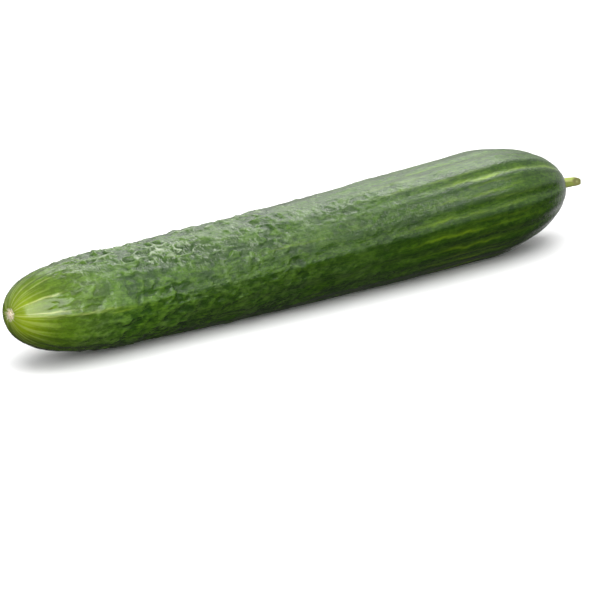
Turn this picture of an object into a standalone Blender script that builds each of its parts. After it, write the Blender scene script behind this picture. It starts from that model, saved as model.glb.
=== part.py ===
"""A whole long green cucumber, as picked, lying on its side: the fruit and the cut stub of its stem.

Blender 4.5 script, in metres, +Z up. The origin is on the floor under the middle of the object. +X runs
along the fruit from the blossom end to the stem, and the fruit rests on a narrow flat on its underside.
"""

import math
import random

import bmesh
import bpy
import numpy as np
from mathutils import Vector

# The fruit's length and its place along X
FRUIT_LENGTH = 0.330
BLOSSOM_TIP_X = -0.1720

# Radius of the fruit without its rounded ends, at shares of its length from the blossom tip
GIRTH_SHARES = (0.0, 0.15, 0.45, 0.75, 0.92, 1.0)
GIRTH_RADII = (0.0210, 0.0210, 0.0230, 0.0249, 0.0256, 0.0256)

# The rounded ends: how far each reaches, and the two powers of its curve
BLOSSOM_CAP_LENGTH = 0.062
BLOSSOM_CAP_POWERS = (2.58, 2.41)
STEM_CAP_LENGTH = 0.057
STEM_CAP_POWERS = (1.82, 1.99)

# The slight bend that the fruit grew with: sideways offsets, how far the blossom tip lifts, and how far
# the stem end drops over the last share of the length
BEND_SHARES = (0.0, 0.25, 0.5, 0.75, 1.0)
BEND_OFFSETS = (0.0017, 0.0023, 0.0, -0.0002, 0.0031)
BLOSSOM_TIP_LIFT = 0.0052
STEM_END_DROP = 0.0010
STEM_DROP_SHARE = 0.25

# The flat that the fruit rests on: how deep its round underside would reach below the floor,
# and the height over which the skin's relief fades out towards the flat
FLAT_DEPTH = 0.0006
FLAT_FADE_HEIGHT = 0.0020

# Furrows from end to end, with a fainter one between each two. Angles run round the fruit from +Y to +Z.
FURROW_COUNT = 10
FURROW_ANGLE = math.radians(130)
FURROW_SHARPNESS = 3
FURROW_SHARES = (0.0, 0.02, 0.10, 0.30, 0.60, 0.82, 0.95, 1.0)
FURROW_DEPTHS = (0.0001, 0.00040, 0.00055, 0.00035, 0.00045, 0.00085, 0.00070, 0.0003)
FAINT_FURROW_PART = 0.45
FURROW_WANDER = 0.05
MEAN_OF_CUBED_WAVE = 5 / 16

# The three broad sides over the three seed chambers
CHAMBER_COUNT = 3
CHAMBER_ANGLE = math.radians(155)
CHAMBER_SWELL = 0.00035

# The blunt ridges along which the three sides meet, which fade out towards the stem
RIDGE_ANGLE = math.radians(173)
RIDGE_WIDTH = 0.0038
RIDGE_BLUNTNESS = 0.0005
RIDGE_SHARES = (0.0, 0.03, 0.10, 0.35, 0.60, 0.85, 1.0)
RIDGE_HEIGHTS = (0.0, 0.00045, 0.00075, 0.00065, 0.00035, 0.00010, 0.0)

# Slow swells and dents along the skin, each as (height, waves along, waves around, phase)
SWELLS = ((0.00008, 3.3, 1, 0.6), (0.00008, 6.1, 2, 2.1), (0.00007, 10.3, 3, 4.0))

# Low warts, thick over the blossom half and fading out towards the stem
WART_COUNT = 330
WART_SEED = 11
WART_HEIGHTS = (0.00022, 0.00050)
WART_HALF_LENGTHS = (0.0028, 0.0055)
WART_HALF_WIDTHS = (0.0019, 0.0032)
WART_COVER_SHARES = (0.0, 0.06, 0.16, 0.50, 0.72, 1.0)
WART_COVER = (0.0, 0.25, 1.0, 0.9, 0.30, 0.12)
WART_JITTER = 0.25
WART_SINK = 0.00009
GOLDEN_SHARE = (math.sqrt(5) - 1) / 2

# The scar that the blossom left on the tip: a low corky button in a shallow ring
SCAR_RADIUS = 0.0022
SCAR_HEIGHT = 0.0005

# The seat of the stem: a small flat on the fruit's other end, in a shallow dimple
SEAT_RADIUS = 0.0044
DIMPLE_RADIUS = 0.0072
DIMPLE_WIDTH = 0.0022
DIMPLE_DEPTH = 0.0005

# The stub of the stem: its widened foot, its five ridges, how it droops, and the slant and turn of its cut
STEM_GAP = 0.0003
STEM_LENGTH = 0.0142
STEM_SHARES = (0.0, 0.10, 0.24, 0.55, 0.80, 0.94, 1.0)
STEM_RADII = (0.0041, 0.0034, 0.0027, 0.00235, 0.00220, 0.00212, 0.0019)
STEM_RIDGES = 5
STEM_RIDGE_PART = 0.06
STEM_DROOP = math.radians(5)
CUT_SLANT = math.radians(68)
CUT_TURN = math.radians(-25)
CUT_ONSET = 2

# Mesh fineness
FRUIT_SEGMENTS = 80
FRUIT_RINGS = 70
STEM_SEGMENTS = 20
STEM_RINGS = 14
OUTLINE_SAMPLES = 2000
SLOPE_STEP = 0.001

# Finishes: name, colour, roughness
SKIN = ("cucumber_skin", (0.055, 0.130, 0.022, 1.0), 0.35)
STALK = ("cucumber_stalk", (0.360, 0.430, 0.110, 1.0), 0.60)


def smooth_through(shares, values, where):
    """A smooth curve through the values at the shares, read at where."""
    shares = np.asarray(shares, float)
    values = np.asarray(values, float)
    slopes = np.gradient(values, shares)
    where = np.clip(where, shares[0], shares[-1])
    left = np.clip(np.searchsorted(shares, where) - 1, 0, len(shares) - 2)
    span = shares[left + 1] - shares[left]
    t = (where - shares[left]) / span
    return (
        (1 + 2 * t) * (1 - t) ** 2 * values[left]
        + t * (1 - t) ** 2 * span * slopes[left]
        + t**2 * (3 - 2 * t) * values[left + 1]
        + t**2 * (t - 1) * span * slopes[left + 1]
    )


def rounded_end(distance, length, powers):
    """How far a rounded end has opened, 0 at its tip and 1 from its length on."""
    left = np.clip(1 - distance / length, 0, 1)
    return (1 - left ** powers[0]) ** (1 / powers[1])


def girth(share):
    """The fruit's radius without its rounded ends."""
    return smooth_through(GIRTH_SHARES, GIRTH_RADII, share)


def plain_radius(share):
    """The fruit's radius with its rounded ends and without relief."""
    blossom = rounded_end(share * FRUIT_LENGTH, BLOSSOM_CAP_LENGTH, BLOSSOM_CAP_POWERS)
    stem = rounded_end((1 - share) * FRUIT_LENGTH, STEM_CAP_LENGTH, STEM_CAP_POWERS)
    return girth(share) * blossom * stem


def even_shares(steps):
    """Shares of the fruit's length that lie evenly along its outline, for steps from 0 to 1."""
    shares = (1 - np.cos(np.linspace(0, math.pi, OUTLINE_SAMPLES))) / 2
    run = np.hypot(np.diff(shares * FRUIT_LENGTH), np.diff(plain_radius(shares)))
    travelled = np.concatenate(([0.0], np.cumsum(run)))
    return np.interp(steps, travelled / travelled[-1], shares)


def middle(share):
    """Points on the fruit's bent middle line."""
    x = BLOSSOM_TIP_X + FRUIT_LENGTH * share
    y = smooth_through(BEND_SHARES, BEND_OFFSETS, share)
    lift = BLOSSOM_TIP_LIFT * np.clip(1 - 2 * share, 0, 1) ** 3
    drop = STEM_END_DROP * np.clip(1 - (1 - share) / STEM_DROP_SHARE, 0, 1) ** 2
    return np.stack([x, y, girth(share) - FLAT_DEPTH + lift - drop], axis=1)


def directions(share):
    """The directions along, across and up from the bent middle line, each of length 1."""
    ahead = middle(np.clip(share + SLOPE_STEP, 0, 1))
    behind = middle(np.clip(share - SLOPE_STEP, 0, 1))
    along = (ahead - behind) / np.linalg.norm(ahead - behind, axis=1)[:, None]
    across = np.cross((0.0, 0.0, 1.0), along)
    across /= np.linalg.norm(across, axis=1)[:, None]
    return along, across, np.cross(along, across)


def furrow_relief(share, angle):
    """Narrow furrows with broad ribs between them, and a faint furrow along each rib."""
    wander = FURROW_WANDER * np.sin(5.0 * share + 0.8) * np.sin(angle + 2.0 * share)
    wave = np.cos(FURROW_COUNT * (angle - FURROW_ANGLE + wander))
    main = ((1 + wave) / 2) ** FURROW_SHARPNESS
    faint = FAINT_FURROW_PART * ((1 - wave) / 2) ** FURROW_SHARPNESS
    mean = (1 + FAINT_FURROW_PART) * MEAN_OF_CUBED_WAVE
    return -smooth_through(FURROW_SHARES, FURROW_DEPTHS, share) * (main + faint - mean)


def swell_relief(share, angle):
    """The three broad sides, and slow swells and dents along the skin."""
    relief = CHAMBER_SWELL * np.cos(CHAMBER_COUNT * (angle - CHAMBER_ANGLE))
    for height, along, around, phase in SWELLS:
        relief = relief + height * np.sin(math.tau * along * share + phase + np.cos(around * angle + phase))
    return relief


def ridge_relief(share, angle):
    """Three blunt ridges along the fruit."""
    turn = np.angle(np.exp(1j * CHAMBER_COUNT * (angle - RIDGE_ANGLE))) / CHAMBER_COUNT
    off = np.hypot(turn * girth(share), RIDGE_BLUNTNESS) - RIDGE_BLUNTNESS
    return smooth_through(RIDGE_SHARES, RIDGE_HEIGHTS, share) * np.exp(-off / RIDGE_WIDTH)


def scattered_warts():
    """(share, angle, half length, half width, height) of each wart, spread evenly and then jittered."""
    draw = random.Random(WART_SEED)
    warts = []
    for number in range(WART_COUNT):
        share = (number + draw.random()) / WART_COUNT
        angle = math.tau * (number * GOLDEN_SHARE + WART_JITTER * draw.random())
        half_length = draw.uniform(*WART_HALF_LENGTHS)
        half_width = draw.uniform(*WART_HALF_WIDTHS)
        height = draw.uniform(*WART_HEIGHTS)
        warts.append((share, angle, half_length, half_width, height))
    return warts


def wart_relief(share, angle):
    """Low bumps, longer along the fruit than around it, on a skin sunk by their mean height."""
    relief = np.full_like(share, -WART_SINK)
    radius = girth(share)
    for wart_share, wart_angle, half_length, half_width, height in scattered_warts():
        along = (share - wart_share) * FRUIT_LENGTH / half_length
        turn = np.angle(np.exp(1j * (angle - wart_angle)))
        around = turn * radius / half_width
        relief += height * np.exp(-(along**2) - around**2)
    return relief * smooth_through(WART_COVER_SHARES, WART_COVER, share)


def scar_relief(radius):
    """How far the corky button on the blossom tip stands out along the fruit's middle line."""
    near = radius < 1.5 * SCAR_RADIUS
    return SCAR_HEIGHT * np.cos(math.pi * np.minimum(radius / SCAR_RADIUS, 2)) * near


def dimple_relief(radius):
    """How far the skin round the stem's seat sinks in along the fruit's middle line."""
    around_seat = radius > SEAT_RADIUS
    return DIMPLE_DEPTH * np.exp(-(((radius - DIMPLE_RADIUS) / DIMPLE_WIDTH) ** 2)) * around_seat


def seat_share():
    """The share of the length where the stem end has narrowed to the stem's seat."""
    shares = np.linspace(1 - STEM_CAP_LENGTH / FRUIT_LENGTH, 1, OUTLINE_SAMPLES)
    return float(shares[plain_radius(shares) > SEAT_RADIUS][-1])


def fruit_skin(share, angle):
    """Points on the fruit's skin, at shares of its length and angles round it."""
    plain = plain_radius(share)
    seated = np.minimum(share, seat_share())
    centre = middle(seated)
    along, across, up = directions(seated)
    height = centre[:, 2] + plain * np.sin(angle)
    relief = furrow_relief(share, angle) + swell_relief(share, angle)
    relief += ridge_relief(share, angle) + wart_relief(share, angle)
    relief *= np.clip(plain / girth(share), 0, 1) * np.clip(height / FLAT_FADE_HEIGHT, 0, 1)
    radius = plain + relief
    push = -scar_relief(radius) * (share < 0.5) - dimple_relief(radius) * (share > 0.5)
    outward = np.cos(angle)[:, None] * across + np.sin(angle)[:, None] * up
    points = centre + radius[:, None] * outward + push[:, None] * along
    points[:, 2] = np.maximum(points[:, 2], 0.0)
    return points


def finish(name, colour, roughness):
    """A Principled material of one colour."""
    material = bpy.data.materials.new(name)
    material.use_nodes = True
    shader = material.node_tree.nodes["Principled BSDF"]
    shader.inputs["Base Color"].default_value = colour
    shader.inputs["Roughness"].default_value = roughness
    shader.inputs["Metallic"].default_value = 0.0
    material.diffuse_color = colour
    return material


def smooth_object(name, bm, material):
    """The bmesh as a smooth-shaded object of that name."""
    mesh = bpy.data.meshes.new(name)
    bm.to_mesh(mesh)
    bm.free()
    mesh.shade_smooth()
    mesh.materials.append(material)
    made = bpy.data.objects.new(name, mesh)
    bpy.context.scene.collection.objects.link(made)
    return made


def make_fruit():
    """The fruit: a sphere whose rings are drawn out along the middle line and moulded to the skin."""
    bm = bmesh.new()
    bmesh.ops.create_uvsphere(bm, u_segments=FRUIT_SEGMENTS, v_segments=FRUIT_RINGS, radius=1.0)
    angles = np.array([math.atan2(vert.co.y, vert.co.x) for vert in bm.verts])
    steps = np.array([math.acos(max(-1.0, min(1.0, -vert.co.z))) / math.pi for vert in bm.verts])
    for vert, point in zip(bm.verts, fruit_skin(even_shares(steps), angles)):
        vert.co = point
    return smooth_object("fruit", bm, finish(*SKIN))


def stem_point(share, angle, out):
    """A point of the stem: share of its length, angle round it, and how far out of its middle, 0 to 1."""
    seat = np.array([seat_share()])
    foot = Vector(middle(seat)[0])
    along, across, up = (Vector(direction[0]) for direction in directions(seat))
    droop = STEM_DROOP * share
    reach = STEM_LENGTH * share
    place = foot + along * (STEM_GAP + reach * math.cos(droop / 2)) - up * reach * math.sin(droop / 2)
    radius = float(smooth_through(STEM_SHARES, STEM_RADII, np.array([share]))[0])
    radius *= out * (1 + STEM_RIDGE_PART * math.cos(STEM_RIDGES * angle))
    raised = up * math.cos(droop) + along * math.sin(droop)
    slant = math.tan(CUT_SLANT) * math.cos(angle - CUT_TURN) * share**CUT_ONSET
    return place + radius * (across * math.cos(angle) + raised * math.sin(angle) + along * slant)


def make_stem():
    """The stem: a capped cylinder cut into rings, which are bent, tapered and ridged."""
    bm = bmesh.new()
    bmesh.ops.create_cone(bm, cap_ends=True, segments=STEM_SEGMENTS, radius1=1.0, radius2=1.0, depth=1.0)
    lengthwise = [edge for edge in bm.edges if abs(edge.verts[0].co.z - edge.verts[1].co.z) > 0.5]
    bmesh.ops.subdivide_edges(bm, edges=lengthwise, cuts=STEM_RINGS - 1, use_grid_fill=True)
    for vert in bm.verts:
        out = math.hypot(vert.co.x, vert.co.y)
        vert.co = stem_point(vert.co.z + 0.5, math.atan2(vert.co.y, vert.co.x), out)
    return smooth_object("stem", bm, finish(*STALK))


def main():
    for old in list(bpy.data.objects):
        bpy.data.objects.remove(old)
    make_fruit()
    make_stem()


main()
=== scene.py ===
"""The looks of a whole long green cucumber that lies on its side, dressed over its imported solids.

The fruit and the cut stub of its stem are rebuilt as fine meshes in the solids' places. Both follow the
solids' form, with the finer skin on top: wrinkles, pimples and pores. Lengths are in metres, +Z is up, and
+X runs from the blossom end to the stem. Angles run round the fruit from +Y over +Z.
"""

import logging
import math
import random
from dataclasses import dataclass, field
from enum import Enum

import bmesh
import bpy
import numpy as np
from mathutils import Matrix, Vector, noise


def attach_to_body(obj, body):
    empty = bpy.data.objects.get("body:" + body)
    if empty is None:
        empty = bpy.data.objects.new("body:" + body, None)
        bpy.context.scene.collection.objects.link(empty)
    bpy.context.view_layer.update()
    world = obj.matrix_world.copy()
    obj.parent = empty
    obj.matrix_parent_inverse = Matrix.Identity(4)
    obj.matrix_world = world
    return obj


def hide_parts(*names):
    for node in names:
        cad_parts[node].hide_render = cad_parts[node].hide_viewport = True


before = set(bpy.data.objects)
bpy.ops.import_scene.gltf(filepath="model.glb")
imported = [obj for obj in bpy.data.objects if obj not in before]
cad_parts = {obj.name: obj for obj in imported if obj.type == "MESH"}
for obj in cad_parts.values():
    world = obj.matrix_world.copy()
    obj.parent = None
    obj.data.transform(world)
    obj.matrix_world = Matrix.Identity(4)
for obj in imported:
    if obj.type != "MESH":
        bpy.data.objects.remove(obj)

ROOT_BODY = "root"

log = logging.getLogger("cucumber")

Triple = tuple[float, float, float]
Colour = Triple
Range = tuple[float, float]


class Node(Enum):
    """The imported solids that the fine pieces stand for."""

    FRUIT = "fruit"
    STEM = "stem"


class Slot(Enum):
    """The record's material slots."""

    SKIN = "skin"
    STEM = "stem"


class Trait(Enum):
    """The numbers that each point of a piece carries for its material."""

    STREAK = "streak"
    BLUSH = "blush"
    SCAR = "scar"
    HEIGHT = "height"
    BANDS_AND_SHADOW = "band"
    BLOOM = "bloom"
    # Where painted glints, highlights laid on as colour, go; and how near each point is to a wrinkle's
    # crest.
    GLINT_ZONE = "glint_zone"
    CREST = "crest"
    SHARE = "share"
    RIDGE = "ridge"
    CUT = "cut"


@dataclass(frozen=True)
class Profile:
    """A smooth curve through values at shares of a length."""

    shares: tuple[float, ...]
    values: tuple[float, ...]

    def at(self, where: np.ndarray) -> np.ndarray:
        """Reads the curve.

        Args:
            where: Shares at which it is read; those past its ends read as its ends.

        Returns:
            One value for each share.
        """
        shares = np.asarray(self.shares, float)
        values = np.asarray(self.values, float)
        slopes = np.gradient(values, shares)
        where = np.clip(where, shares[0], shares[-1])
        left = np.clip(np.searchsorted(shares, where) - 1, 0, len(shares) - 2)
        span = shares[left + 1] - shares[left]
        t = (where - shares[left]) / span
        return (
            (1 + 2 * t) * (1 - t) ** 2 * values[left]
            + t * (1 - t) ** 2 * span * slopes[left]
            + t**2 * (3 - 2 * t) * values[left + 1]
            + t**2 * (t - 1) * span * slopes[left + 1]
        )


def fade(value: np.ndarray, start: float, end: float) -> np.ndarray:
    """Rises smoothly from 0 at start to 1 at end.

    Args:
        value: The numbers that are judged.
        start: Where the rise begins.
        end: Where it is complete; it may be less than start.

    Returns:
        One share for each number.
    """
    t = np.clip((value - start) / (end - start), 0, 1)
    return t * t * (3 - 2 * t)


@dataclass(frozen=True)
class Waves:
    """A smooth noise: its waves in a metre along each axis, and a shift that sets it apart from others."""

    scale: Triple
    shift: float

    def at(self, points: np.ndarray) -> np.ndarray:
        """Reads the noise.

        Args:
            points: The places, one row each.

        Returns:
            One number, about -1 to 1, for each place.
        """
        moved = points * np.asarray(self.scale) + self.shift
        return np.array([noise.noise(Vector(place)) for place in moved])


@dataclass(frozen=True)
class FruitForm:
    """The fruit's smooth form: a bent middle line and rings square to it, with rounded ends."""

    length: float = 0.330
    tip_x: float = -0.1720
    girth: Profile = Profile(
        (0.0, 0.15, 0.45, 0.75, 0.92, 1.0), (0.0210, 0.0210, 0.0230, 0.0249, 0.0256, 0.0256)
    )
    blossom_cap_length: float = 0.062
    blossom_cap_powers: Range = (2.58, 2.41)
    stem_cap_length: float = 0.057
    stem_cap_powers: Range = (1.82, 1.99)
    bend: Profile = Profile((0.0, 0.25, 0.5, 0.75, 1.0), (0.0017, 0.0023, 0.0, -0.0002, 0.0031))
    blossom_lift: float = 0.0052
    stem_drop: float = 0.0010
    stem_drop_share: float = 0.25
    flat_depth: float = 0.0006
    seat_radius: float = 0.0044
    ring_density: Profile = Profile(
        (0.0, 0.06, 0.12, 0.55, 0.70, 0.92, 1.0), (0.9, 1.0, 1.3, 1.3, 0.75, 0.65, 0.8)
    )
    outline_samples: int = 4000
    slope_step: float = 0.001

    def plain_radius(self, share: np.ndarray) -> np.ndarray:
        """The radius of the smooth form.

        Args:
            share: Shares of the fruit's length from the blossom tip.

        Returns:
            One radius for each share.
        """
        blossom = self._rounded(share * self.length, self.blossom_cap_length, self.blossom_cap_powers)
        stem = self._rounded((1 - share) * self.length, self.stem_cap_length, self.stem_cap_powers)
        return self.girth.at(share) * blossom * stem

    @staticmethod
    def _rounded(distance: np.ndarray, length: float, powers: Range) -> np.ndarray:
        """How far a rounded end has opened.

        Args:
            distance: Distances from the end's tip.
            length: How far the rounded end reaches.
            powers: The two powers of its curve.

        Returns:
            0 at the tip to 1 from its length on.
        """
        left = np.clip(1 - distance / length, 0, 1)
        return (1 - left ** powers[0]) ** (1 / powers[1])

    def spread_shares(self, steps: np.ndarray) -> np.ndarray:
        """Shares of the length that lie along the outline, closer where the skin is wrinkled.

        Args:
            steps: Numbers from 0 at the blossom tip to 1 at the stem end.

        Returns:
            One share for each step.
        """
        shares = (1 - np.cos(np.linspace(0, math.pi, self.outline_samples))) / 2
        run = np.hypot(np.diff(shares * self.length), np.diff(self.plain_radius(shares)))
        run *= self.ring_density.at((shares[1:] + shares[:-1]) / 2)
        travelled = np.concatenate(([0.0], np.cumsum(run)))
        return np.interp(steps, travelled / travelled[-1], shares)

    def middle(self, share: np.ndarray) -> np.ndarray:
        """Points on the bent middle line.

        Args:
            share: Shares of the fruit's length.

        Returns:
            One point in a row for each share.
        """
        lift = self.blossom_lift * np.clip(1 - 2 * share, 0, 1) ** 3
        drop = self.stem_drop * np.clip(1 - (1 - share) / self.stem_drop_share, 0, 1) ** 2
        height = self.girth.at(share) - self.flat_depth + lift - drop
        return np.stack([self.tip_x + self.length * share, self.bend.at(share), height], axis=1)

    def directions(self, share: np.ndarray) -> tuple[np.ndarray, np.ndarray, np.ndarray]:
        """The directions along, across and up from the middle line.

        Args:
            share: Shares of the fruit's length.

        Returns:
            Three arrays with one direction of length 1 in a row for each share.
        """
        ahead = self.middle(np.clip(share + self.slope_step, 0, 1))
        behind = self.middle(np.clip(share - self.slope_step, 0, 1))
        along = (ahead - behind) / np.linalg.norm(ahead - behind, axis=1)[:, None]
        across = np.cross((0.0, 0.0, 1.0), along)
        across /= np.linalg.norm(across, axis=1)[:, None]
        return along, across, np.cross(along, across)

    def seat_share(self) -> float:
        """The share of the length where the stem end has narrowed to the stem's seat."""
        shares = np.linspace(1 - self.stem_cap_length / self.length, 1, self.outline_samples)
        return float(shares[self.plain_radius(shares) > self.seat_radius][-1])

    def unrolled(self, share: np.ndarray, angle: np.ndarray) -> np.ndarray:
        """Places on a plain cylinder, for noise that follows the skin without stretching at its ends.

        Args:
            share: Shares of the fruit's length.
            angle: Angles round it.

        Returns:
            One place in a row for each pair.
        """
        radius = self.girth.at(share)
        return np.stack([share * self.length, radius * np.cos(angle), radius * np.sin(angle)], axis=1)


@dataclass(frozen=True)
class Furrows:
    """Furrows from end to end, with a fainter one between each two."""

    count: int = 10
    first_angle: float = math.radians(130)
    sharpness: int = 3
    depth: Profile = Profile(
        (0.0, 0.02, 0.10, 0.30, 0.60, 0.82, 0.95, 1.0),
        (0.0001, 0.00040, 0.00055, 0.00035, 0.00045, 0.00085, 0.00070, 0.0003),
    )
    faint_part: float = 0.45
    wander: float = 0.05
    wander_along: float = 5.0
    wander_start: float = 0.8
    wander_twist: float = 2.0
    mean_of_cubed_wave: float = 5 / 16

    def straightened(self, share: np.ndarray, angle: np.ndarray) -> np.ndarray:
        """Angles from the first furrow, with the furrows' slow wander taken out.

        Args:
            share: Shares of the fruit's length.
            angle: Angles round it.

        Returns:
            One angle for each pair.
        """
        along = np.sin(self.wander_along * share + self.wander_start)
        return angle - self.first_angle + self.wander * along * np.sin(angle + self.wander_twist * share)

    def relief(self, share: np.ndarray, angle: np.ndarray) -> np.ndarray:
        """The furrows' heights, with broad ribs between them.

        Args:
            share: Shares of the fruit's length.
            angle: Angles round it.

        Returns:
            One height for each pair, 0 on average.
        """
        wave = np.cos(self.count * self.straightened(share, angle))
        main = ((1 + wave) / 2) ** self.sharpness
        faint = self.faint_part * ((1 - wave) / 2) ** self.sharpness
        mean = (1 + self.faint_part) * self.mean_of_cubed_wave
        return -self.depth.at(share) * (main + faint - mean)


@dataclass(frozen=True)
class Swells:
    """The three broad sides over the seed chambers, and slow swells and dents along the skin."""

    chambers: int = 3
    chamber_angle: float = math.radians(155)
    chamber_height: float = 0.00035
    waves: tuple[tuple[float, float, float, float], ...] = (
        (0.00008, 3.3, 1, 0.6),
        (0.00008, 6.1, 2, 2.1),
        (0.00007, 10.3, 3, 4.0),
    )

    def relief(self, share: np.ndarray, angle: np.ndarray) -> np.ndarray:
        """The swells' heights.

        Args:
            share: Shares of the fruit's length.
            angle: Angles round it.

        Returns:
            One height for each pair.
        """
        relief = self.chamber_height * np.cos(self.chambers * (angle - self.chamber_angle))
        for height, along, around, phase in self.waves:
            turned = np.cos(around * angle + phase)
            relief = relief + height * np.sin(math.tau * along * share + phase + turned)
        return relief


@dataclass(frozen=True)
class Ridges:
    """The blunt ridges along which the fruit's three sides meet, which fade out towards the stem."""

    count: int = 3
    first_angle: float = math.radians(173)
    width: float = 0.0038
    bluntness: float = 0.0005
    height: Profile = Profile(
        (0.0, 0.03, 0.10, 0.35, 0.60, 0.85, 1.0), (0.0, 0.00045, 0.00075, 0.00065, 0.00035, 0.00010, 0.0)
    )

    def relief(self, form: FruitForm, share: np.ndarray, angle: np.ndarray) -> np.ndarray:
        """The ridges' heights.

        Args:
            form: The fruit that they stand on.
            share: Shares of its length.
            angle: Angles round it.

        Returns:
            One height for each pair.
        """
        turn = np.angle(np.exp(1j * self.count * (angle - self.first_angle))) / self.count
        off = np.hypot(turn * form.girth.at(share), self.bluntness) - self.bluntness
        return self.height.at(share) * np.exp(-off / self.width)


def places_near(
    form: FruitForm, share: np.ndarray, angle: np.ndarray, mark: tuple[float, float], reach: float
) -> tuple[np.ndarray, np.ndarray, np.ndarray]:
    """Finds the places on the skin that lie near a mark.

    Args:
        form: The fruit.
        share: Shares of its length.
        angle: Angles round it.
        mark: The mark's share of the length, and its angle.
        reach: How far along the fruit the mark reaches.

    Returns:
        The places' numbers, how far each lies from the mark along the fruit, and the angle from it.
    """
    near = np.flatnonzero(np.abs(share - mark[0]) * form.length < reach)
    turn = np.mod(angle[near] - mark[1] + math.pi, math.tau) - math.pi
    return near, (share[near] - mark[0]) * form.length, turn


@dataclass(frozen=True)
class Warts:
    """Low warts, thick over the blossom half and fading out towards the stem."""

    count: int = 330
    seed: int = 11
    heights: Range = (0.00022, 0.00050)
    half_lengths: Range = (0.0028, 0.0055)
    half_widths: Range = (0.0019, 0.0032)
    reach: float = 3.0
    cover: Profile = Profile((0.0, 0.06, 0.16, 0.50, 0.72, 1.0), (0.0, 0.25, 1.0, 0.9, 0.30, 0.12))
    jitter: float = 0.25
    sink: float = 0.00009
    golden_share: float = (math.sqrt(5) - 1) / 2

    def relief(self, form: FruitForm, share: np.ndarray, angle: np.ndarray) -> np.ndarray:
        """The warts' heights.

        Args:
            form: The fruit that they stand on.
            share: Shares of its length.
            angle: Angles round it.

        Returns:
            One height for each pair.
        """
        draw = random.Random(self.seed)
        relief = np.full_like(share, -self.sink)
        radius = form.girth.at(share)
        for number in range(self.count):
            wart_share = (number + draw.random()) / self.count
            wart_angle = math.tau * (number * self.golden_share + self.jitter * draw.random())
            half_length = draw.uniform(*self.half_lengths)
            half_width = draw.uniform(*self.half_widths)
            mark = (wart_share, wart_angle)
            near, along, turn = places_near(form, share, angle, mark, self.reach * half_length)
            around = turn * radius[near] / half_width
            bump = np.exp(-((along / half_length) ** 2) - around**2)
            relief[near] += draw.uniform(*self.heights) * bump
        return relief * self.cover.at(share)


@dataclass(frozen=True)
class Wrinkles:
    """The blossom half's crinkled skin: cobbles, crests that wind round small hollows, and folds across."""

    cobbles: Waves = Waves((240.0, 360.0, 360.0), 3.1)
    cobble_height: float = 0.00030
    least_cobbles: float = 0.4
    winding: Waves = Waves((120.0, 290.0, 290.0), 29.4)
    crest_height: float = 0.00036
    crest_width: float = 0.12
    crest_mean: float = 0.3
    hollow_depth: float = 0.00030
    hollow_levels: Range = (-0.06, -0.30)
    hollow_facing: Range = (0.2, 0.9)
    folds: Waves = Waves((400.0, 130.0, 130.0), 17.7)
    fold_height: float = 0.00020
    dents: Waves = Waves((75.0, 140.0, 140.0), 41.3)
    dent_depth: float = 0.00022
    warp: float = 0.0010
    warps: tuple[Waves, ...] = tuple(Waves((210.0, 260.0, 260.0), shift) for shift in (61.0, 73.0, 87.0))
    patches: Waves = Waves((45.0, 75.0, 75.0), 7.9)
    patch_levels: Range = (-0.40, 0.30)
    fold_patches: Waves = Waves((45.0, 75.0, 75.0), 97.2)
    fold_patch_levels: Range = (-0.25, 0.25)
    cover: Profile = Profile(
        (0.0, 0.04, 0.10, 0.30, 0.45, 0.66, 0.80, 1.0), (0.0, 0.35, 1.2, 1.2, 0.75, 0.28, 0.10, 0.05)
    )
    upper_angle: float = math.radians(108)
    upper_part: float = 0.30

    def relief(
        self, form: FruitForm, share: np.ndarray, angle: np.ndarray
    ) -> tuple[np.ndarray, np.ndarray]:
        """The wrinkles' heights, and how near each place is to a crest's line.

        Args:
            form: The fruit that they lie on.
            share: Shares of its length.
            angle: Angles round it.

        Returns:
            One height, about 0 on average, and one nearness from 0 to 1 for each pair.
        """
        places = form.unrolled(share, angle)
        warped = places + self.warp * np.stack([waves.at(places) for waves in self.warps], axis=1)
        winding = self.winding.at(warped)
        crests = np.exp(-((winding / self.crest_width) ** 2))
        patches = fade(self.patches.at(places), *self.patch_levels)
        folded = fade(self.fold_patches.at(places), *self.fold_patch_levels)
        above = np.cos(angle - self.upper_angle)
        hollows = fade(winding, *self.hollow_levels) * fade(above, *self.hollow_facing)
        relief = self.cobble_height * self.cobbles.at(warped) * (self.least_cobbles + patches)
        relief += (self.crest_height * (crests - self.crest_mean) - self.hollow_depth * hollows) * patches
        relief += self.fold_height * self.folds.at(warped) * folded
        relief += self.dent_depth * self.dents.at(places)
        return relief * self.cover.at(share) * (1 + self.upper_part * above), crests * patches


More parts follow.
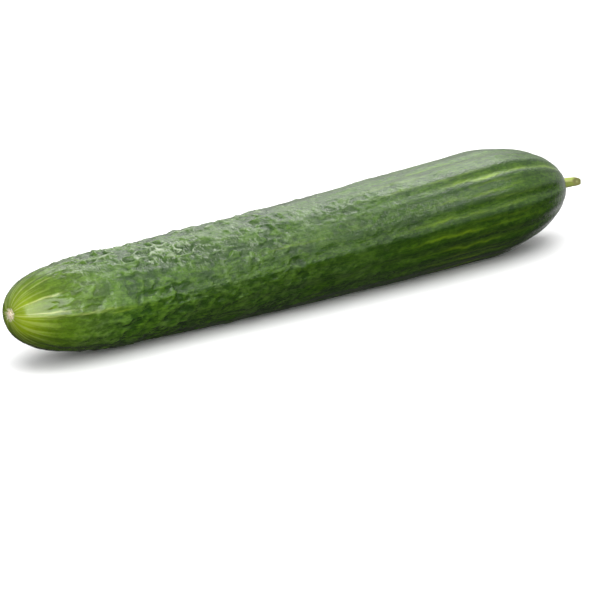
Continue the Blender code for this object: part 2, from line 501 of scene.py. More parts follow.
@dataclass(frozen=True)
class Pimples:
    """Small pimples with pale tips, in loose rows on the ribs, where the young fruit's spines stood."""

    spacing: float = 0.0125
    rows: int = 20
    seed: int = 23
    radii: Range = (0.0005, 0.0009)
    heights: Range = (0.00012, 0.00034)
    cover: Profile = Profile((0.0, 0.04, 0.12, 0.60, 0.85, 1.0), (0.0, 0.5, 1.0, 0.9, 0.35, 0.1))
    wander: float = 0.45
    drawn_out: float = 1.5
    reach: float = 4.0

    def relief(
        self, form: FruitForm, share: np.ndarray, angle: np.ndarray
    ) -> tuple[np.ndarray, np.ndarray]:
        """The pimples' heights, and how near each place is to a tip.

        Args:
            form: The fruit that they stand on.
            share: Shares of its length.
            angle: Angles round it.

        Returns:
            One height and one nearness from 0 to 1 for each pair.
        """
        draw = random.Random(self.seed)
        relief = np.zeros_like(share)
        nearness = np.zeros_like(share)
        radius = form.girth.at(share)
        in_row = int(form.length / self.spacing)
        for row in range(self.rows):
            for number in range(in_row):
                place = (number + draw.random()) / in_row
                turned = math.tau * (row + 0.5 + self.wander * (draw.random() - 0.5)) / self.rows
                size = draw.uniform(*self.radii)
                height = draw.uniform(*self.heights)
                if draw.random() > float(self.cover.at(np.array([place]))[0]):
                    continue
                near, along, turn = places_near(form, share, angle, (place, turned), self.reach * size)
                lengthwise = along / (self.drawn_out * size)
                bump = np.exp(-(lengthwise**2) - (turn * radius[near] / size) ** 2)
                relief[near] += height * bump
                nearness[near] = np.maximum(nearness[near], bump)
        return relief, nearness


@dataclass(frozen=True)
class Ends:
    """The corky scar on the blossom tip, and the shallow dimple round the stem's seat."""

    scar_radius: float = 0.0022
    scar_height: float = 0.0005
    scar_reach: float = 1.5
    dimple_radius: float = 0.0072
    dimple_width: float = 0.0022
    dimple_depth: float = 0.0005

    def scar(self, radius: np.ndarray) -> np.ndarray:
        """How far the scar stands out along the middle line.

        Args:
            radius: Distances from the middle line near the blossom tip.

        Returns:
            One height for each radius.
        """
        near = radius < self.scar_reach * self.scar_radius
        return self.scar_height * np.cos(math.pi * np.minimum(radius / self.scar_radius, 2)) * near

    def dimple(self, radius: np.ndarray, seat_radius: float) -> np.ndarray:
        """How far the skin round the stem's seat sinks in along the middle line.

        Args:
            radius: Distances from the middle line near the stem end.
            seat_radius: The radius of the flat that the stem stands on.

        Returns:
            One depth for each radius.
        """
        ring = np.exp(-(((radius - self.dimple_radius) / self.dimple_width) ** 2))
        return self.dimple_depth * ring * (radius > seat_radius)


@dataclass(frozen=True)
class Streak:
    """One pale line along the skin, from one share of the fruit's length to another."""

    degrees: float
    start: float
    end: float
    strength: float
    half_width: float


@dataclass(frozen=True)
class Ripple:
    """A sine along the fruit."""

    height: float
    length: float
    phase_part: float

    def at(self, run: np.ndarray, phase: float) -> np.ndarray:
        """Reads the sine.

        Args:
            run: Distances from the blossom tip.
            phase: A number that differs from streak to streak.

        Returns:
            One height for each distance.
        """
        return self.height * np.sin(math.tau * run / self.length + self.phase_part * phase)


@dataclass(frozen=True)
class Streaks:
    """Pale yellow-green streaks: short rays from the blossom scar, and long lines towards the stem, each
    with a painted shadow beside it.
    """

    rays: tuple[Streak, ...] = (
        Streak(71, 0.0, 0.050, 0.35, 0.00028), Streak(93, 0.0, 0.050, 0.40, 0.00030),
        Streak(108, 0.0, 0.075, 0.60, 0.00028), Streak(114, 0.0, 0.030, 0.40, 0.00026),
        Streak(128, 0.0, 0.050, 0.60, 0.00028), Streak(141, 0.0, 0.070, 0.75, 0.00032),
        Streak(168.5, 0.0, 0.100, 0.6, 0.00030), Streak(175, 0.0, 0.150, 0.9, 0.00034),
        Streak(195, 0.0, 0.040, 0.45, 0.00032), Streak(214, 0.0, 0.025, 0.20, 0.00028),
    )
    lines: tuple[Streak, ...] = (
        Streak(173, 0.07, 0.20, 0.45, 0.00030), Streak(177, 0.10, 0.24, 0.35, 0.00030),
        Streak(72, 0.55, 0.93, 0.12, 0.00050), Streak(84, 0.62, 0.90, 0.12, 0.00040),
        Streak(94, 0.58, 0.95, 0.25, 0.00050), Streak(101, 0.70, 0.93, 0.18, 0.00035),
        Streak(107, 0.50, 0.92, 0.20, 0.00055), Streak(113.5, 0.72, 0.92, 0.12, 0.00035),
        Streak(120.5, 0.55, 0.94, 0.30, 0.00050), Streak(130, 0.66, 0.985, 0.60, 0.00065),
        Streak(130.6, 0.72, 1.080, 0.75, 0.00070), Streak(139, 0.74, 0.93, 0.25, 0.00040),
        Streak(148, 0.64, 0.94, 0.42, 0.00045), Streak(150, 0.34, 0.66, 0.25, 0.00040),
        Streak(157, 0.76, 0.94, 0.28, 0.00040), Streak(166, 0.60, 0.95, 0.55, 0.00050),
        Streak(176, 0.70, 0.94, 0.30, 0.00040), Streak(184, 0.58, 0.95, 0.60, 0.00055),
        Streak(193, 0.72, 0.93, 0.30, 0.00040), Streak(202, 0.62, 0.95, 0.50, 0.00050),
        Streak(213, 0.66, 0.93, 0.40, 0.00045), Streak(221, 0.60, 0.94, 0.60, 0.00050),
    )
    unseen: Range = (232.0, 418.0)
    unseen_step: float = 8.5
    unseen_steps: Range = (0.75, 1.25)
    unseen_ray_ends: Range = (0.025, 0.07)
    unseen_ray_strengths: Range = (0.15, 0.60)
    unseen_ray_half_width: float = 0.00032
    unseen_line_starts: Range = (0.52, 0.72)
    unseen_line_ends: Range = (0.90, 0.95)
    unseen_line_strengths: Range = (0.25, 0.8)
    unseen_line_half_width: float = 0.00050
    seed: int = 41
    phase_step: float = 0.37
    sway: float = math.radians(0.9)
    sways: tuple[Ripple, ...] = (Ripple(1.0, 0.047, 1.0), Ripple(0.5, 0.019, 2.3))
    sway_onset: Range = (0.004, 0.050)
    jag: float = math.radians(1.6)
    jags: Waves = Waves((260.0, 120.0, 120.0), 21.6)
    jag_onset: Range = (0.0, 0.012)
    pulse_mean: float = 0.74
    pulses: tuple[Ripple, ...] = (Ripple(0.26, 0.061, 1.7), Ripple(0.22, 0.023, 3.1))
    pulse_limits: Range = (0.15, 1.15)
    pulse_width_part: float = 0.45
    narrow_part: float = 0.35
    narrow_length: float = 0.02
    ending: float = 0.75
    beginning: float = 0.35
    halo: float = 0.24
    halo_width: float = 3.0
    halo_aside: float = 1.5
    # Painted shadow: a dark strip of colour beside each streak, where a furrow's shade would fall.
    shadow_width: float = 1.3
    shadow_aside: float = 2.3
    shadow_onset: Range = (0.005, 0.015)
    shadow_strength: float = 1.3
    fine_rays: Waves = Waves((15.0, 15.0, 60.0), 14.2)
    fine_ray_part: float = 0.20
    fine_ray_levels: Range = (0.12, 0.45)
    fine_ray_ending: Range = (0.020, 0.004)
    fine_gap_part: float = 0.60
    fine_gap_levels: Range = (0.0, -0.35)
    fine_gap_onset: Range = (0.002, 0.006)
    fine_gap_ending: Range = (0.030, 0.008)
    fray: float = 0.55
    frays: Waves = Waves((70.0, 1000.0, 1000.0), 33.8)
    rib_drifts: tuple[Waves, ...] = (Waves((30.0, 50.0, 50.0), 71.0), Waves((120.0, 300.0, 300.0), 4.4))
    rib_drift_heights: Range = (0.5, 0.25)
    rib_turn: float = 2.2
    rib_push: float = 0.8
    rib_levels: Range = (-0.3, 0.9)
    rib_part: float = 0.7
    rib_least: float = 0.2
    rib_onset: Range = (0.40, 0.75)

    def _drawn(self) -> list[Streak]:
        """Draws the rays and lines of the hidden sides.

        Returns:
            The streaks.
        """
        draw = random.Random(self.seed)
        drawn = []
        degrees = self.unseen[0]
        while degrees < self.unseen[1]:
            end = draw.uniform(*self.unseen_ray_ends)
            strength = draw.uniform(*self.unseen_ray_strengths)
            drawn.append(Streak(degrees, 0.0, end, strength, self.unseen_ray_half_width))
            start = draw.uniform(*self.unseen_line_starts)
            end = draw.uniform(*self.unseen_line_ends)
            strength = draw.uniform(*self.unseen_line_strengths)
            drawn.append(Streak(degrees, start, end, strength, self.unseen_line_half_width))
            degrees += self.unseen_step * draw.uniform(*self.unseen_steps)
        return drawn

    def _fine_rays(self, run: np.ndarray, angle: np.ndarray) -> tuple[np.ndarray, np.ndarray]:
        """How pale the skin is for the fine rays round the blossom scar, and how dark between them.

        Args:
            run: Distances from the blossom tip.
            angle: Angles round the fruit.

        Returns:
            Two numbers from 0 to 1 for each pair.
        """
        grain = self.fine_rays.at(np.stack([np.cos(angle), np.sin(angle), run], axis=1))
        pale = fade(grain, *self.fine_ray_levels) * fade(run, *self.fine_ray_ending)
        dark = fade(grain, *self.fine_gap_levels) * fade(run, *self.fine_gap_ending)
        return self.fine_ray_part * pale, self.fine_gap_part * dark * fade(run, *self.fine_gap_onset)

    def _strength(self, streak: Streak, share: np.ndarray) -> np.ndarray:
        """How strong a streak is along its length.

        Args:
            streak: The streak.
            share: Shares of the fruit's length.

        Returns:
            One number from 0 to 1 for each share.
        """
        length = streak.end - streak.start
        shown = streak.strength * fade(share, streak.end, streak.end - self.ending * length)
        if streak.start > 0:
            shown = shown * fade(share, streak.start, streak.start + self.beginning * length)
        return shown

    def shades(
        self, form: FruitForm, share: np.ndarray, angle: np.ndarray
    ) -> tuple[np.ndarray, np.ndarray, np.ndarray]:
        """How pale the skin is for the streaks, how dark between the fine rays and in the painted shadow
        beside each streak, and how far their pale flanks reach.

        Args:
            form: The fruit.
            share: Shares of its length.
            angle: Angles round it.

        Returns:
            Three numbers from 0 to 1 for each pair.
        """
        run = share * form.length
        radius = form.plain_radius(share)
        places = form.unrolled(share, angle)
        frayed = 1 + self.fray * self.frays.at(places)
        jagged = self.jag * self.jags.at(places) * fade(run, *self.jag_onset)
        widened = 1 - self.narrow_part * (1 - fade(run, 0.0, self.narrow_length))
        pale, dark = self._fine_rays(run, angle)
        flank = np.zeros_like(share)
        for streak in (*self.rays, *self.lines, *self._drawn()):
            phase = self.phase_step * streak.degrees
            sway = sum(ripple.at(run, phase) for ripple in self.sways) * fade(run, *self.sway_onset)
            turn = angle - math.radians(streak.degrees) - self.sway * sway - jagged
            off = (np.mod(turn + math.pi, math.tau) - math.pi) * radius
            pulse = self.pulse_mean + sum(ripple.at(run, phase) for ripple in self.pulses)
            pulse = np.clip(pulse, *self.pulse_limits)
            shown = self._strength(streak, share)
            half_width = streak.half_width * (1 - self.pulse_width_part * (1 - pulse)) * widened
            line = np.exp(-((off / half_width) ** 2))
            beyond = (off / half_width + self.halo_aside) / self.halo_width
            halo = (streak.start > 0) * np.exp(-(beyond**2))
            flank = np.maximum(flank, shown * halo)
            pale = np.maximum(pale, shown * pulse * (line + self.halo * halo) * frayed)
            # The painted shadow beside the streak.
            aside = (off / streak.half_width - self.shadow_aside) / self.shadow_width
            dark = np.maximum(dark, shown * np.exp(-(aside**2)) * fade(run, *self.shadow_onset))
        return np.clip(pale, 0, 1), np.clip(self.shadow_strength * dark, 0, 1), flank

    def ribs(self, form: FruitForm, furrows: Furrows, share: np.ndarray, angle: np.ndarray) -> np.ndarray:
        """How much the skin belongs to the darker bands along the ribs.

        Args:
            form: The fruit.
            furrows: The furrows between the ribs.
            share: Shares of the fruit's length.
            angle: Angles round it.

        Returns:
            A number from 0 to 1 for each pair.
        """
        places = form.unrolled(share, angle)
        drifts = zip(self.rib_drift_heights, self.rib_drifts)
        drift = sum(height * waves.at(places) for height, waves in drifts)
        turned = 2 * furrows.count * furrows.straightened(share, angle) + self.rib_turn * drift
        bands = fade(self.rib_push * drift - np.cos(turned), *self.rib_levels)
        onset = self.rib_least + (1 - self.rib_least) * fade(share, *self.rib_onset)
        return self.rib_part * bands * onset


@dataclass(frozen=True)
class Pattern:
    """A noise over a piece, and the range of it over which a colour comes in."""

    scale: float
    detail: float
    low: float
    high: float
    stretch: Triple = (1.0, 1.0, 1.0)
    roughness: float = 0.55


class NodeTree:
    """Builds a material's shader from plain calls."""

    def __init__(self, name: str, viewport_colour: Colour) -> None:
        """Makes the material with its Principled shader.

        Args:
            name: The material's name.
            viewport_colour: The colour that it has outside renders.
        """
        self.material = bpy.data.materials.new(name)
        self.material.use_nodes = True
        self.material.diffuse_color = (*viewport_colour, 1.0)
        self.tree = self.material.node_tree
        self.shader = self.tree.nodes["Principled BSDF"]
        self.coordinates = self.add("ShaderNodeTexCoord").outputs["Object"]

    def add(self, kind: str, **settings: object) -> bpy.types.Node:
        """Adds a node.

        Args:
            kind: The node's type.
            **settings: Its properties.

        Returns:
            The new node.
        """
        made = self.tree.nodes.new(kind)
        for name, value in settings.items():
            setattr(made, name, value)
        return made

    def feed(self, socket: bpy.types.NodeSocket, value: object) -> None:
        """Links an output to the socket, or sets the socket to a value.

        Args:
            socket: The input that is fed.
            value: An output socket, a number or a colour.
        """
        if isinstance(value, bpy.types.NodeSocket):
            self.tree.links.new(value, socket)
        elif isinstance(value, tuple):
            socket.default_value = (*value, 1.0) if len(value) < len(socket.default_value) else value
        else:
            socket.default_value = value

    def trait(self, trait: Trait) -> bpy.types.NodeSocket:
        """The output that reads one of the mesh's own numbers."""
        return self.add("ShaderNodeAttribute", attribute_name=trait.value).outputs["Fac"]

    def noise(
        self, scale: float, detail: float, stretch: Triple = (1.0, 1.0, 1.0), roughness: float = 0.55
    ) -> bpy.types.NodeSocket:
        """A noise over the piece.

        Args:
            scale: How many waves it has in a metre.
            detail: How many finer layers it has.
            stretch: Factors on the waves along each axis.
            roughness: How strong the finer layers are.

        Returns:
            The output with the noise, 0 to 1.
        """
        mapping = self.add("ShaderNodeMapping")
        self.feed(mapping.inputs["Vector"], self.coordinates)
        mapping.inputs["Scale"].default_value = stretch
        texture = self.add("ShaderNodeTexNoise")
        self.feed(texture.inputs["Vector"], mapping.outputs["Vector"])
        self.feed(texture.inputs["Scale"], scale)
        self.feed(texture.inputs["Detail"], detail)
        self.feed(texture.inputs["Roughness"], roughness)
        return texture.outputs["Fac"]

    def pattern(self, pattern: Pattern, least: float = 0.0, most: float = 1.0) -> bpy.types.NodeSocket:
        """A pattern over the piece.

        Args:
            pattern: Its noise and range.
            least: Its value where the noise is below the range.
            most: Its value where the noise is beyond the range.

        Returns:
            The output with the pattern.
        """
        grain = self.noise(pattern.scale, pattern.detail, pattern.stretch, pattern.roughness)
        return self.spread(grain, (pattern.low, pattern.high), (least, most))

    def spread(self, value: object, given: Range, becomes: Range = (0.0, 1.0)) -> bpy.types.NodeSocket:
        """Maps a range smoothly onto another.

        Args:
            value: The number or output that is mapped.
            given: The two values between which it changes.
            becomes: What they become.

        Returns:
            The mapped output.
        """
        mapped = self.add("ShaderNodeMapRange", interpolation_type="SMOOTHSTEP")
        self.feed(mapped.inputs["Value"], value)
        for name, number in zip(("From Min", "From Max", "To Min", "To Max"), (*given, *becomes)):
            self.feed(mapped.inputs[name], number)
        return mapped.outputs["Result"]

    def maths(self, operation: str, first: object, second: object) -> bpy.types.NodeSocket:
        """Joins two numbers.

        Args:
            operation: What is done, such as ADD or MULTIPLY.
            first: A number or output.
            second: A number or output.

        Returns:
            The result, held from 0 to 1.
        """
        joined = self.add("ShaderNodeMath", operation=operation, use_clamp=True)
        self.feed(joined.inputs[0], first)
        self.feed(joined.inputs[1], second)
        return joined.outputs["Value"]

    def part(self, value: object, part: float) -> bpy.types.NodeSocket:
        """The value times the part."""
        return self.maths("MULTIPLY", value, part)

    def blend(self, share: object, first: object, second: object) -> bpy.types.NodeSocket:
        """Mixes two colours.

        Args:
            share: How much of the second is taken.
            first: A colour or output.
            second: A colour or output.

        Returns:
            The mixed colour.
        """
        mixed = self.add("ShaderNodeMix", data_type="RGBA")
        self.feed(mixed.inputs["Factor"], share)
        colours = {socket.identifier: socket for socket in (*mixed.inputs, *mixed.outputs)}
        self.feed(colours["A_Color"], first)
        self.feed(colours["B_Color"], second)
        return colours["Result_Color"]

    def blend_numbers(self, share: object, first: object, second: object) -> bpy.types.NodeSocket:
        """Mixes two numbers.

        Args:
            share: How much of the second is taken.
            first: A number or output.
            second: A number or output.

        Returns:
            The mixed number.
        """
        mixed = self.add("ShaderNodeMix", data_type="FLOAT")
        for name, value in zip(("Factor", "A", "B"), (share, first, second)):
            self.feed(mixed.inputs[name], value)
        return mixed.outputs["Result"]

    def raise_by(
        self, height: object, distance: float, strength: float, under: bpy.types.NodeSocket | None = None
    ) -> bpy.types.NodeSocket:
        """Roughens the surface below the size of the mesh.

        Args:
            height: The output with the heights, 0 to 1.
            distance: The height of 1 in metres.
            strength: How much of it shows.
            under: The normal of a coarser layer, if there is one.

        Returns:
            The new normal.
        """
        bump = self.add("ShaderNodeBump")
        self.feed(bump.inputs["Strength"], strength)
        self.feed(bump.inputs["Distance"], distance)
        self.feed(bump.inputs["Height"], height)
        if under is not None:
            self.feed(bump.inputs["Normal"], under)
        return bump.outputs["Normal"]


@dataclass(frozen=True)
class SkinFinish:
    """The waxy green skin, with its mottling, streaks, pale blossom end and corky scar, and with painted
    light: glints, shade in the creases and shadow beside the streaks.
    """

    deep: Colour = (0.013, 0.050, 0.0020)
    green: Colour = (0.039, 0.112, 0.0045)
    fresh: Colour = (0.098, 0.218, 0.0085)
    bloom: Colour = (0.190, 0.260, 0.130)
    blush: Colour = (0.325, 0.430, 0.010)
    ray: Colour = (0.640, 0.690, 0.250)
    line: Colour = (0.275, 0.450, 0.012)
    # The pale grey-green of painted glints: highlights laid on as colour.
    painted_glint: Colour = (0.430, 0.510, 0.350)
    scar: Colour = (0.960, 0.880, 0.680)
    scar_dark: Colour = (0.640, 0.450, 0.250)
    broad: Pattern = Pattern(55.0, 4.0, 0.30, 0.66, (0.6, 1.0, 1.0))
    mottle: Pattern = Pattern(300.0, 4.0, 0.42, 0.64, (0.7, 1.0, 1.0), 0.65)
    mottled: tuple[Range, Range] = ((0.10, 0.60), (0.90, 0.60))
    fibres: Pattern = Pattern(850.0, 3.0, 0.35, 0.68, (0.10, 1.0, 1.0))
    fibre_part: float = 0.40
    bands_and_shadow_part: float = 0.74
    grains: Pattern = Pattern(1300.0, 2.0, 0.52, 0.42, (0.18, 1.0, 1.0))
    grain_part: float = 0.45
    # Painted shade in the wrinkles' creases and painted light on their raised skin.
    painted_crease_shade: tuple[Range, Range] = ((0.46, 0.10), (0.0, 0.65))
    painted_crest_light: tuple[Range, Range] = ((0.55, 0.95), (0.0, 0.30))
    veil: Range = (0.05, 0.24)
    flecks: Pattern = Pattern(1500.0, 2.0, 0.58, 0.74, (0.6, 1.0, 1.0))
    fleck_part: float = 0.16
    # Painted glints: short pale strokes in clusters, and broken pale lines along the crests.
    strokes: Pattern = Pattern(620.0, 3.0, 0.50, 0.68, (1.0, 0.60, 0.60), 0.6)
    stroke_part: float = 0.60
    clusters: Pattern = Pattern(90.0, 3.0, 0.44, 0.64)
    breaks: Pattern = Pattern(260.0, 2.0, 0.38, 0.62)
    crest_glint: Range = (0.05, 0.85)
    glint_crest_levels: Range = (0.35, 0.95)
    rays_to_lines: Range = (0.04, 0.16)
    cork: Pattern = Pattern(1700.0, 3.0, 0.40, 0.54)
    gloss_roughness: Range = (0.10, 0.21)
    dull_half: Range = (0.45, 0.80)
    dull_roughness: float = 0.10
    cork_roughness: float = 0.85
    specular: float = 0.45
    pore_waves: float = 2400.0
    pore_depth: float = 0.00006
    pore_strength: float = 0.6
    crease_waves: float = 800.0
    crease_depth: float = 0.00060
    crease_strength: float = 0.8
    smooth_end: tuple[Range, Range] = ((0.03, 0.10), (0.15, 1.0))
    smooth_half: tuple[Range, Range] = ((0.30, 0.60), (1.0, 0.55))
    round_grain: Triple = (0.6, 1.0, 1.0)

    def make(self) -> bpy.types.Material:
        """Builds the material.

        Returns:
            The material.
        """
        nodes = NodeTree("cucumber_skin", self.green)
        shader = nodes.shader
        colour = self._marked(nodes, self._painted_glints(nodes, self._ground(nodes)))
        nodes.feed(shader.inputs["Base Color"], colour)
        nodes.feed(shader.inputs["Roughness"], self._roughness(nodes))
        nodes.feed(shader.inputs["Normal"], self._bumps(nodes))
        shader.inputs["Specular IOR Level"].default_value = self.specular
        return nodes.material

    def _ground(self, nodes: NodeTree) -> bpy.types.NodeSocket:
        """The mottled and banded greens, with painted shade in the creases, painted light on the raised
        skin and a pale bloom over them.

        Args:
            nodes: The material's nodes.

        Returns:
            The colour.
        """
        mottle = nodes.pattern(self.mottle)
        blotched = nodes.spread(nodes.trait(Trait.SHARE), *self.mottled)
        height = nodes.trait(Trait.HEIGHT)
        veil = nodes.spread(mottle, (0.0, 1.0), self.veil)
        veil = nodes.maths("MULTIPLY", nodes.trait(Trait.BLOOM), veil)
        layers = (
            (nodes.maths("MULTIPLY", mottle, blotched), self.fresh),
            (nodes.part(nodes.pattern(self.fibres), self.fibre_part), self.fresh),
            # Rib bands, dark gaps between the fine rays, and the painted shadow beside the streaks.
            (nodes.part(nodes.trait(Trait.BANDS_AND_SHADOW), self.bands_and_shadow_part), self.deep),
            (nodes.part(nodes.pattern(self.grains), self.grain_part), self.deep),
            # Painted shade in the creases, painted light on the raised skin.
            (nodes.spread(height, *self.painted_crease_shade), self.deep),
            (nodes.spread(height, *self.painted_crest_light), self.fresh),
            (veil, self.bloom),
            (nodes.part(nodes.pattern(self.flecks), self.fleck_part), self.bloom),
        )
        colour = nodes.blend(nodes.pattern(self.broad), self.deep, self.green)
        for share, layer in layers:
            colour = nodes.blend(share, colour, layer)
        return colour

    def _painted_glints(self, nodes: NodeTree, colour: bpy.types.NodeSocket) -> bpy.types.NodeSocket:
        """The colour with painted glints: pale highlights in clusters of short strokes and along the
        crests.

        Args:
            nodes: The material's nodes.
            colour: The colour beneath.

        Returns:
            The colour.
        """
        # Painted highlights: pale strokes in clusters, then pale breaks along the crests.
        clusters = nodes.maths("MULTIPLY", nodes.pattern(self.clusters), nodes.trait(Trait.GLINT_ZONE))
        strokes = nodes.part(nodes.pattern(self.strokes), self.stroke_part)
        colour = nodes.blend(nodes.maths("MULTIPLY", strokes, clusters), colour, self.painted_glint)
        crests = nodes.spread(nodes.trait(Trait.CREST), self.glint_crest_levels)
        crest_glint = nodes.maths("MULTIPLY", crests, nodes.pattern(self.breaks, *self.crest_glint))
        return nodes.blend(crest_glint, colour, self.painted_glint)

    def _marked(self, nodes: NodeTree, colour: bpy.types.NodeSocket) -> bpy.types.NodeSocket:
        """The colour with the blossom end's blush, the pale streaks and the scar.

        Args:
            nodes: The material's nodes.
            colour: The colour beneath.

        Returns:
            The colour.
        """
        colour = nodes.blend(nodes.trait(Trait.BLUSH), colour, self.blush)
        pale = nodes.blend(nodes.spread(nodes.trait(Trait.SHARE), self.rays_to_lines), self.ray, self.line)
        colour = nodes.blend(nodes.trait(Trait.STREAK), colour, pale)
        cork = nodes.blend(nodes.pattern(self.cork), self.scar_dark, self.scar)
        return nodes.blend(nodes.trait(Trait.SCAR), colour, cork)

    def _roughness(self, nodes: NodeTree) -> bpy.types.NodeSocket:
        """The roughness: waxy skin, duller in the stem half, and dry cork on the scar.

        Args:
            nodes: The material's nodes.

        Returns:
            The roughness.
        """
        dull = nodes.part(nodes.spread(nodes.trait(Trait.SHARE), self.dull_half), self.dull_roughness)
        gloss = nodes.spread(nodes.trait(Trait.BLOOM), (0.0, 1.0), self.gloss_roughness)
        waxy = nodes.maths("ADD", gloss, dull)
        return nodes.blend_numbers(nodes.trait(Trait.SCAR), waxy, self.cork_roughness)

    def _bumps(self, nodes: NodeTree) -> bpy.types.NodeSocket:
        """The pores and the finest creases.

        Args:
            nodes: The material's nodes.

        Returns:
            The normal.
        """
        pores = nodes.noise(self.pore_waves, 2.0, self.round_grain)
        pores = nodes.raise_by(pores, self.pore_depth, self.pore_strength)
        creases = nodes.noise(self.crease_waves, 3.0, self.round_grain)
        for smooth in (self.smooth_end, self.smooth_half):
            creases = nodes.maths("MULTIPLY", creases, nodes.spread(nodes.trait(Trait.SHARE), *smooth))
        return nodes.raise_by(creases, self.crease_depth, self.crease_strength, pores)


@dataclass(frozen=True)
class StemFinish:
    """The stub's yellow-green bark with pale ridges, and its drying, pale cut face."""

    bark: Colour = (0.430, 0.530, 0.085)
    ridge: Colour = (0.520, 0.560, 0.200)
    foot: Colour = (0.180, 0.290, 0.060)
    dried: Colour = (0.300, 0.300, 0.080)
    pith: Colour = (0.520, 0.540, 0.190)
    fibre_waves: float = 1400.0
    fibre_stretch: Triple = (0.12, 1.0, 1.0)
    pale_ridges: tuple[Range, Range] = ((0.4, 1.0), (0.0, 0.8))
    pale_fibres: tuple[Range, Range] = ((0.45, 0.75), (0.0, 0.5))
    foot_reach: tuple[Range, Range] = ((0.25, 0.0), (0.0, 0.8))
    dry_length: Range = (0.86, 1.0)
    dry_fibres: tuple[Range, Range] = ((0.3, 0.6), (0.5, 1.0))
    dry_part: float = 0.8
    pith_reach: Range = (0.50, 0.95)
    pith_specks: Pattern = Pattern(2400.0, 2.0, 0.5, 0.75)
    speck_part: float = 0.5
    cut_edge: Range = (0.02, 0.12)
    roughness: tuple[Range, Range] = ((0.3, 0.7), (0.50, 0.68))
    fibre_depth: float = 0.00015
    fibre_strength: float = 0.6
    specular: float = 0.35

    def make(self) -> bpy.types.Material:
        """Builds the material.

        Returns:
            The material.
        """
        nodes = NodeTree("cucumber_stem", self.bark)
        shader = nodes.shader
        share = nodes.trait(Trait.SHARE)
        fibres = nodes.noise(self.fibre_waves, 3.0, self.fibre_stretch)
        ridged = nodes.spread(nodes.trait(Trait.RIDGE), *self.pale_ridges)
        colour = nodes.blend(ridged, self.bark, self.ridge)
        colour = nodes.blend(nodes.spread(fibres, *self.pale_fibres), colour, self.ridge)
        colour = nodes.blend(nodes.spread(share, *self.foot_reach), colour, self.foot)
        dry_fibres = nodes.spread(fibres, *self.dry_fibres)
        dry = nodes.maths("MULTIPLY", nodes.spread(share, self.dry_length), dry_fibres)
        colour = nodes.blend(nodes.part(dry, self.dry_part), colour, self.dried)
        cut = nodes.trait(Trait.CUT)
        rings = nodes.blend(nodes.spread(cut, self.pith_reach), self.dried, self.pith)
        rings = nodes.blend(nodes.pattern(self.pith_specks, 0.0, self.speck_part), rings, self.dried)
        colour = nodes.blend(nodes.spread(cut, self.cut_edge), colour, rings)
        nodes.feed(shader.inputs["Base Color"], colour)
        nodes.feed(shader.inputs["Roughness"], nodes.spread(fibres, *self.roughness))
        nodes.feed(shader.inputs["Normal"], nodes.raise_by(fibres, self.fibre_depth, self.fibre_strength))
        shader.inputs["Specular IOR Level"].default_value = self.specular
        return nodes.material


@dataclass(frozen=True)
class FloorFinish:
    """A plain pale floor."""

    colour: Colour = (0.92, 0.92, 0.92)
    paler: Colour = (0.93, 0.93, 0.93)
    clouds: Pattern = Pattern(3.0, 3.0, 0.3, 0.7)
    roughness: float = 0.9
    specular: float = 0.1

    def make(self) -> bpy.types.Material:
        """Builds the material.

        Returns:
            The material.
        """
        nodes = NodeTree("pale_floor", self.colour)
        colour = nodes.blend(nodes.pattern(self.clouds), self.colour, self.paler)
        nodes.feed(nodes.shader.inputs["Base Color"], colour)
        nodes.shader.inputs["Roughness"].default_value = self.roughness
        nodes.shader.inputs["Specular IOR Level"].default_value = self.specular
        return nodes.material


def as_piece(
    name: str, bm: bmesh.types.BMesh, material: bpy.types.Material, traits: dict[Trait, np.ndarray]
) -> bpy.types.Object:
    """Turns a bmesh into a smooth-shaded piece with numbers at its points.

    Args:
        name: The piece's name.
        bm: Its shape, which is used up.
        material: Its finish.
        traits: The numbers for each of its points, in their order.

    Returns:
        The new object, at the origin.
    """
    mesh = bpy.data.meshes.new(name)
    bm.to_mesh(mesh)
    bm.free()
    mesh.shade_smooth()
    mesh.materials.append(material)
    for trait, numbers in traits.items():
        made = mesh.attributes.new(trait.value, "FLOAT", "POINT")
        made.data.foreach_set("value", np.ascontiguousarray(numbers, dtype=np.float32))
    piece = bpy.data.objects.new(name, mesh)
    bpy.context.scene.collection.objects.link(piece)
    return piece


def ringed_cylinder(segments: int, rings: int, closed_by_fans: bool) -> bmesh.types.BMesh:
    """Makes a cylinder 1 long and 1 in radius, cut across into rings.

    Args:
        segments: How many faces lie round it.
        rings: How many faces lie along it, plus one.
        closed_by_fans: Whether its ends are fans of triangles, or one face each.

    Returns:
        The cylinder, about the origin with its length along Z.
    """
    bm = bmesh.new()
    bmesh.ops.create_cone(
        bm, cap_ends=True, cap_tris=closed_by_fans, segments=segments, radius1=1.0, radius2=1.0, depth=1.0
    )
    lengthwise = [edge for edge in bm.edges if abs(edge.verts[0].co.z - edge.verts[1].co.z) > 0.5]
    bmesh.ops.subdivide_edges(bm, edges=lengthwise, cuts=rings - 2, use_grid_fill=True)
    bm.normal_update()
    return bm


def attach(piece: bpy.types.Object, node: Node) -> None:
    """Puts a fine piece in a solid's place.

    Args:
        piece: The fine piece.
        node: The solid that it stands for.
    """
    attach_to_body(piece, ROOT_BODY)
    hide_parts(node.value)


